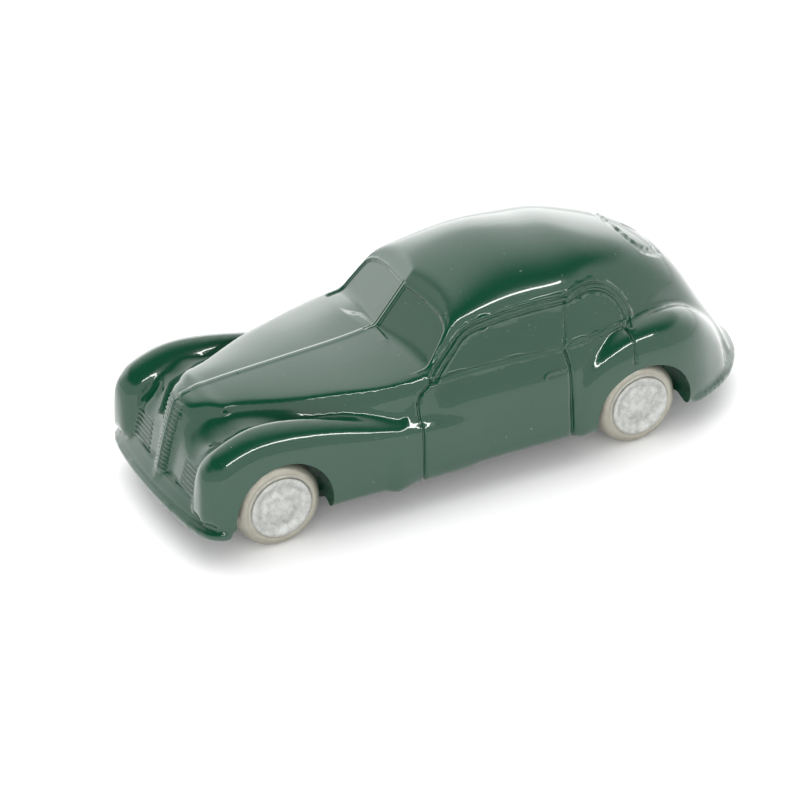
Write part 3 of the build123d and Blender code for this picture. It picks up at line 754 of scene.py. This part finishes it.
# Lines drawn on the casting's left side, in (y, z).
DOOR_FRONT = smooth_line([(-8.7, 5.5), (-8.7, 12), (-8.75, 17), (-8.75, 19.6), (-8.2, 21.4),
                          (-6.8, 22.6), (-5.4, 23.6)])
DOOR_REAR = smooth_line([(20.5, 5.5), (20.5, 14), (20.5, 19.6), (20.35, 21.4), (19.9, 22.6)])
PILLAR_LINE = smooth_line([(20.2, 23.4), (20.9, 25.6), (21.4, 28.0), (21.6, 30.0)])
DOOR_WINDOW = smooth_line([(-5.4, 23.6), (-3.2, 25.4), (-1.2, 27.2), (0.6, 28.8), (2.6, 29.8),
                           (6.0, 30.25), (11.0, 30.6), (16.0, 30.7), (21.4, 30.5)])
QUARTER_WINDOW = smooth_line([(21.9, 30.5), (24.6, 30.9), (27.5, 30.9), (30.2, 30.0), (32.4, 28.2),
                              (33.7, 26.2), (34.2, 24.4), (33.9, 23.4)])
DOOR_BELT = smooth_line([(-4.8, 22.9), (1.0, 23.1), (8.0, 23.1), (14.0, 23.0), (19.4, 22.8)])
QUARTER_BELT = smooth_line([(21.4, 22.9), (25.0, 23.0), (29.0, 23.15), (33.4, 23.3)])
HANDLE = smooth_line([(15.3, 18.9), (15.7, 19.35), (16.6, 19.5), (19.4, 19.5)])
WING_JOINT = smooth_line([(33.0, 17.6), (33.3, 20.0), (33.2, 22.0), (32.6, 23.6)])

# The windscreen's left pane in (x, z), and the rear window and boot-lid line in (x, y).
PANE = np.array([(0.62, 25.9), (5.0, 25.7), (10.0, 25.1), (14.6, 24.3), (15.9, 24.2), (16.0, 24.8),
                 (15.5, 27.0), (14.9, 29.0), (14.4, 30.2), (13.4, 30.9), (11.4, 31.6),
                 (7.0, 32.2), (0.62, 32.5)])
REAR_WINDOW = np.array([(-1.0, 37.6), (3.4, 38.0), (5.8, 38.7), (7.5, 39.8), (8.4, 41.2),
                        (8.4, 42.6), (7.9, 44.4), (7.1, 46.0), (5.8, 47.0), (3.4, 47.4),
                        (-1.0, 47.6)])
BOOT_LINE = smooth_line([(3.2, 48.6), (4.0, 50.6), (4.3, 52.6), (4.3, 55.0), (4.0, 57.4)])
CATWALK_JOINT = smooth_line([(10.2, -43.4), (11.0, -43.0), (12.2, -42.2)])

GRILLE_LOW, GRILLE_HIGH = 9.2, 21.4
RIB_PITCH = 0.74
SLAT_PITCH = 0.82


def side_lines(places):
    """Door shut lines, window frames, belt mouldings, handle and wing joint."""
    flat = places[:, 1:]
    side = places[:, 0] > 9.5
    height = groove(off_line(flat, DOOR_FRONT), 0.26, 0.50)
    height += groove(off_line(flat, DOOR_REAR), 0.26, 0.50)
    height += groove(off_line(flat, PILLAR_LINE), 0.22, 0.25)
    for line in (DOOR_WINDOW, QUARTER_WINDOW):
        gap = off_line(flat, line)
        height += bead(gap, 0.10, 0.32) + groove(np.abs(gap - 0.55), 0.18, 0.12)
        height += bead(np.abs(gap - 0.95), 0.02, 0.14)
    for line in (DOOR_BELT, QUARTER_BELT):
        gap = off_line(flat, line)
        height += bead(gap, 0.30, 0.36)
    height += bead(off_line(flat, HANDLE), 0.12, 0.46)
    height += groove(off_line(flat, WING_JOINT), 0.24, 0.40)
    return np.where(side, height, 0.0)


def front_lines(places):
    """Grille ribs with their ridge, and the slats beside the nose."""
    x, y, z = np.abs(places[:, 0]), places[:, 1], places[:, 2]
    up = step_up(z, GRILLE_LOW - 0.3, GRILLE_LOW + 0.5)
    up = up * (1 - step_up(z, GRILLE_HIGH, GRILLE_HIGH + 0.6))
    wave = 0.5 + 0.5 * np.cos(2 * math.pi * z / RIB_PITCH)
    reach = 1.75 + 0.05 * (z - GRILLE_LOW)
    ribs = up * step_up(x, 0.25, 0.45) * (1 - step_up(x, reach, reach + 0.25)) * (0.10 + 0.26 * wave)
    ridge = up * (1 - step_up(x, 0.18, 0.36)) * 0.42
    height = np.where(y < -42, ribs + ridge, 0.0)
    slats = 0.5 + 0.5 * np.cos(2 * math.pi * (z - 9.6) / SLAT_PITCH)
    panel = step_up(x, 5.9 + 0.12 * (z - 9), 6.4 + 0.12 * (z - 9)) * (1 - step_up(x, 12.2, 12.6))
    panel = panel * step_up(z, 9.2, 9.5) * (1 - step_up(z, 14.2, 14.6))
    height += np.where(y < -43.5, panel * (slats * 0.30 - 0.10), 0.0)
    return height


def top_lines(places):
    """Bonnet bead, windscreen panes, rear window, boot line and the joint beside the nose."""
    x, y, z = np.abs(places[:, 0]), places[:, 1], places[:, 2]
    top = z > 20
    centre = bead(x, 0.30, 0.16) * step_up(y, -44.5, -43.5) * (1 - step_up(y, -8.0, -7.4))
    height = np.where(top, centre, 0.0)
    across = np.stack([x, z], axis=1)
    depth = in_edge(across, PANE)
    glass = -0.26 * step_up(depth, -0.05, 0.22) + 0.10 * np.exp(-((depth + 0.28) / 0.2) ** 2)
    on_screen = (y > -9.5) & (y < 0.6) & (z > 24.6)
    height += np.where(on_screen, glass, 0.0)
    plan = np.stack([x, y], axis=1)
    depth = in_edge(plan, REAR_WINDOW)
    height += np.where(top & (y > 30), -0.36 * step_up(depth, -0.15, 0.75), 0.0)
    height += np.where((z > 12) & (y > 46), groove(off_line(plan, BOOT_LINE), 0.26, 0.35), 0.0)
    height += np.where(z > 15, groove(off_line(plan, CATWALK_JOINT), 0.2, 0.25), 0.0)
    return height


def raised(places):
    """How far the casting's surface stands proud, or is sunk where negative."""
    return side_lines(places) + front_lines(places) + top_lines(places)


def near_lines(places):
    """Whether points are close enough to a drawn line to need a fine mesh."""
    x, y, z = places.T
    flat = places[:, 1:]
    fine = np.zeros(len(places), bool)
    for line, reach in (
        (DOOR_FRONT, 0.9), (DOOR_REAR, 0.9), (PILLAR_LINE, 0.9), (DOOR_WINDOW, 1.4),
        (QUARTER_WINDOW, 1.4), (DOOR_BELT, 1.0), (QUARTER_BELT, 1.0), (HANDLE, 0.9),
        (WING_JOINT, 0.9),
    ):
        fine |= (off_line(flat, line) < reach) & (x > 9.5)
    fine |= (x < 2.9) & (y < -42) & (z > 8.5) & (z < 23.0)
    fine |= (x > 5.6) & (x < 13.0) & (z > 8.8) & (z < 15.0) & (y < -43.5)
    fine |= (x < 0.75) & (y < -7) & (z > 20)
    across = np.stack([x, z], axis=1)
    fine |= (np.abs(in_edge(across, PANE)) < 1.2) & (y > -9.5) & (y < 0.6) & (z > 24.6)
    plan = np.stack([x, y], axis=1)
    depth = in_edge(plan, REAR_WINDOW)
    fine |= (depth > -1.0) & (depth < 1.6) & (z > 20) & (y > 30)
    fine |= (off_line(plan, BOOT_LINE) < 1.1) & (z > 12) & (y > 46)
    fine |= (off_line(plan, CATWALK_JOINT) < 0.6) & (z > 15)
    return fine


def refine(obj, cuts):
    """Cuts the faces near the drawn lines smaller."""
    mesh = obj.data
    bm = bmesh.new()
    bm.from_mesh(mesh)
    places = coordinates(mesh)
    fine = near_lines(places)
    bm.verts.ensure_lookup_table()
    edges = [e for e in bm.edges if fine[e.verts[0].index] and fine[e.verts[1].index]]
    bmesh.ops.subdivide_edges(bm, edges=edges, cuts=cuts, use_grid_fill=True)
    bm.to_mesh(mesh)
    bm.free()
    mesh.update()


# ---- hollow and wheel openings ----
ARCH_R = 9.05
REAR_ARCH = (9.7, 8.5)
WELL_INNER_X, WELL_OUTER_X = 13.9, 24.0

# Half outlines (x, z) of the hollow at stations along the car.
HOLLOW = [
    (-28.6, [(0, 22.0), (5.0, 21.8), (9.6, 20.6), (11.8, 17.6), (12.2, 12.0), (12.3, 4.0)]),
    (-26.0, [(0, 22.4), (5.4, 22.2), (10.2, 20.8), (12.2, 17.6), (12.4, 12.0), (12.4, 4.0)]),
    (-22.0, [(0, 22.7), (6.4, 22.5), (11.8, 21.0), (13.6, 17.6), (16.6, 12.0), (17.0, 4.0)]),
    (-9.5, [(0, 22.6), (8.0, 22.4), (14.0, 21.2), (16.2, 18.2), (17.8, 12.0), (17.9, 4.0)]),
    (-1.0, [(0, 25.0), (7.6, 24.6), (13.2, 23.0), (16.0, 19.0), (18.1, 12.0), (18.0, 4.0)]),
    (7.0, [(0, 34.2), (6.4, 33.4), (11.4, 30.0), (14.7, 23.4), (18.4, 13.0), (18.2, 4.0)]),
    (14.0, [(0, 37.3), (6.4, 36.4), (11.8, 31.6), (15.2, 23.4), (18.4, 13.0), (18.2, 4.0)]),
    (21.0, [(0, 37.0), (6.4, 36.0), (11.6, 31.2), (15.0, 23.4), (17.9, 13.0), (17.8, 4.0)]),
    (25.5, [(0, 36.2), (6.0, 35.2), (10.8, 30.0), (12.2, 23.0), (12.3, 13.0), (12.3, 4.0)]),
    (40.0, [(0, 32.0), (5.0, 31.0), (8.6, 26.6), (11.2, 20.0), (12.2, 13.0), (12.3, 4.0)]),
    (46.0, [(0, 27.6), (4.4, 26.8), (7.2, 23.6), (9.4, 18.4), (10.4, 12.0), (10.6, 4.0)]),
    (47.4, [(0, 25.4), (4.0, 24.6), (6.6, 21.8), (8.8, 17.2), (9.8, 12.0), (10.0, 4.0)]),
]


def cylinder(radius, x_range, y, z, long=1.0):
    """Cutter lying across the car, stretched along it where long is over 1."""
    bpy.ops.mesh.primitive_cylinder_add(
        vertices=96, radius=radius, depth=x_range[1] - x_range[0],
        location=(sum(x_range) / 2, y, z), rotation=(0, math.pi / 2, 0),
    )
    cutter = bpy.context.object
    bpy.ops.object.transform_apply(location=True, rotation=True)
    cutter.data.transform(
        Matrix.Translation((0, y, 0)) @ Matrix.Diagonal((1, long, 1, 1)) @ Matrix.Translation((0, -y, 0))
    )
    return cutter


def box(size, place):
    """Cutter of that size, centred on a place."""
    bpy.ops.mesh.primitive_cube_add(size=1, location=place)
    cutter = bpy.context.object
    cutter.data.transform(Matrix.Diagonal((*size, 1)))
    bpy.ops.object.transform_apply(location=True)
    return cutter


def cut(obj, cutter):
    """Takes the cutter's volume out of the object and removes the cutter."""
    only(obj)
    change = obj.modifiers.new("Cut", "BOOLEAN")
    change.operation = "DIFFERENCE"
    change.solver = "EXACT"
    change.object = cutter
    bpy.ops.object.modifier_apply(modifier="Cut")
    bpy.data.objects.remove(cutter)


COARSE_MESH = 0.66
FINE_CUTS = 3
LUG_POCKET = (24.0, 5.8, 7.0)


def half_body(forms, gauges):
    """The left half of the casting's outside, with its drawn lines; also its shading."""
    only(forms[0])
    for obj in forms[1:]:
        obj.select_set(True)
    bpy.ops.object.duplicate()
    copies = list(bpy.context.selected_objects)
    bpy.context.view_layer.objects.active = copies[0]
    bpy.ops.object.join()
    casting = bpy.context.object
    casting.name = "body"
    casting.data.name = "body"
    melt = casting.modifiers.new("Remesh", "REMESH")
    melt.mode = "VOXEL"
    melt.voxel_size = COARSE_MESH
    bpy.ops.object.modifier_apply(modifier="Remesh")
    bpy.ops.object.mode_set(mode="EDIT")
    bpy.ops.mesh.select_all(action="SELECT")
    bpy.ops.mesh.bisect(plane_co=(0, 0, 0), plane_no=(1, 0, 0), clear_inner=True)
    bpy.ops.object.mode_set(mode="OBJECT")
    settle(casting, gauges, 3)
    refine(casting, FINE_CUTS)
    settle(casting, gauges, 2)
    return casting, *draw_lines(casting)


def open_up(casting):
    """Cuts the hollow, the wheel openings, the front lug pocket and the axle slots."""
    cut(casting, form("hollow", [closed_over([(x, y, z) for x, z in r]) for y, r in HOLLOW], 2))
    for side in (1, -1):
        reach = tuple(sorted((side * WELL_INNER_X, side * WELL_OUTER_X)))
        long, high = REAR_ARCH
        cut(casting, cylinder(ARCH_R, reach, -HALF_BASE, AXLE_Z))
        cut(casting, cylinder(high, reach, HALF_BASE + 0.1, AXLE_Z, long / high))
    cut(casting, box(LUG_POCKET, (0, -HALF_BASE, SILL_Z + 1.3)))
    for y in (-HALF_BASE, HALF_BASE):
        cut(casting, box((2 * WHEEL_OUTER_X, 2.4, 6.4), (0, y, AXLE_Z - 2.0)))


def body_casting():
    """The whole painted casting, in millimetres about the middle of the wheelbase."""
    hood = form("hood_form", [closed_over(r) for r in leaning(HOOD)])
    cabin = form("cabin_form", [closed_over(leaning([(y, 0.0, half)])[0]) for y, half in CABIN])
    nose = form("nose_form", [[(x, y, z) for x, y in half]
                              + [(-x, y, z) for x, y in reversed(half[1:])] for z, half in NOSE])
    front = form("front_wing_form", [closed_wing(r) for r in leaning(FRONT_WING)])
    rear = form("rear_wing_form", [closed_wing(r) for r in leaning(REAR_WING)])
    front_blade = blade("front_bumper_form", FRONT_BUMPER, -1, 3.0)
    rear_blade = blade("rear_bumper_form", REAR_BUMPER, 1, 3.0)
    forms = [hood, nose, cabin, front, rear, front_blade, rear_blade]
    gauges = [Gauge(o) for o in forms]
    only(cabin)
    bpy.ops.object.mode_set(mode="EDIT")
    bpy.ops.mesh.select_all(action="SELECT")
    bpy.ops.mesh.bisect(
        plane_co=(0, screen_y(0, SCREEN_FOOT_Z) - 0.2, SCREEN_FOOT_Z),
        plane_no=(0, -1, SCREEN_LEAN), use_fill=True, clear_outer=True,
    )
    bpy.ops.object.mode_set(mode="OBJECT")
    casting, places, shading = half_body(forms, gauges)
    for obj in forms:
        bpy.data.objects.remove(obj)
    only(casting)
    half = casting.modifiers.new("Mirror", "MIRROR")
    half.merge_threshold = 0.01
    bpy.ops.object.modifier_apply(modifier="Mirror")
    open_up(casting)
    set_shading(casting, places, shading)
    return casting


def to_metres(obj):
    """Puts a mesh made in millimetres in its place in the frame."""
    obj.data.transform(Matrix.Translation((0, MIDDLE_Y * MM, 0)) @ Matrix.Scale(MM, 4))
    obj.data.update()


# ---- make it ----
add_camera()
floor = add_studio()
floor.data.materials.append(floor_paper())
paint = green_paint()
bare_zinc = wheel_zinc()
steel = plain_metal("bright_steel", (0.62, 0.62, 0.63), 0.3, 700.0)
blued = plain_metal("blued_spring", (0.20, 0.23, 0.30), 0.35, 700.0)
brass = plain_metal("turned_brass", (0.78, 0.58, 0.28), 0.3, 700.0)
acetal = moulded_plastic("off_white_acetal", (0.80, 0.79, 0.74), 0.35)
black = moulded_plastic("black_case_plastic", (0.03, 0.03, 0.033), 0.45)
plate_paint = moulded_plastic("satin_black_plate", (0.022, 0.023, 0.025), 0.38)
FINISHES = {
    "body_paint": paint, "wheel_metal": bare_zinc, "plate_metal": plate_paint,
    "axle_steel": steel, "screw_steel": steel, "pinion_brass": brass,
    "gear_plastic": acetal, "spring_steel": blued, "case_plastic": black,
}
for entry in frame["record"]["subparts"]:
    node = frame["nodes"][entry["node"]]
    node.data.materials.clear()
    node.data.materials.append(FINISHES[entry["material_slot"]])

body = body_casting()
to_metres(body)
body.data.materials.append(paint)
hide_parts("body_casting")
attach(body, "chassis")
